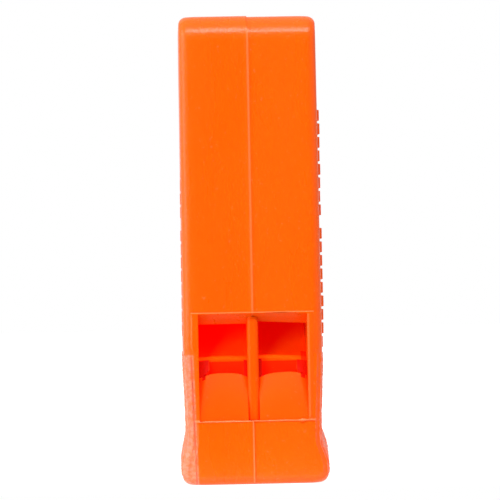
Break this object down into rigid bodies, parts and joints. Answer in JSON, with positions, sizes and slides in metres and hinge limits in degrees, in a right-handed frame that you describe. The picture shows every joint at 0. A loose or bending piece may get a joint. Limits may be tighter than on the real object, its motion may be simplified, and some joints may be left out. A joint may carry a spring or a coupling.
{
  "type": "rescue whistle",
  "caption": "Flat pealess rescue whistle with twin sound windows, side-by-side chambers on a centre partition, a flared bite lip and a lanyard hole",
  "frame": {"origin": "centre of the bounding box at the mouth end, on the seam plane", "axes": "+Z from the mouth end to the top, -Y out of the sound windows, +X across the broad faces to the right-hand shell"},
  "size_m": [0.0146, 0.022, 0.0467],
  "materials": {
    "shell": "glossy, lightly grained",
    "insert": "glossy"
  },
  "bodies": {
    "root": {"left_shell": "shell", "right_shell": "shell", "partition_plate": "insert", "left_windway_insert": "insert", "right_windway_insert": "insert"}
  },
  "joints": []
}
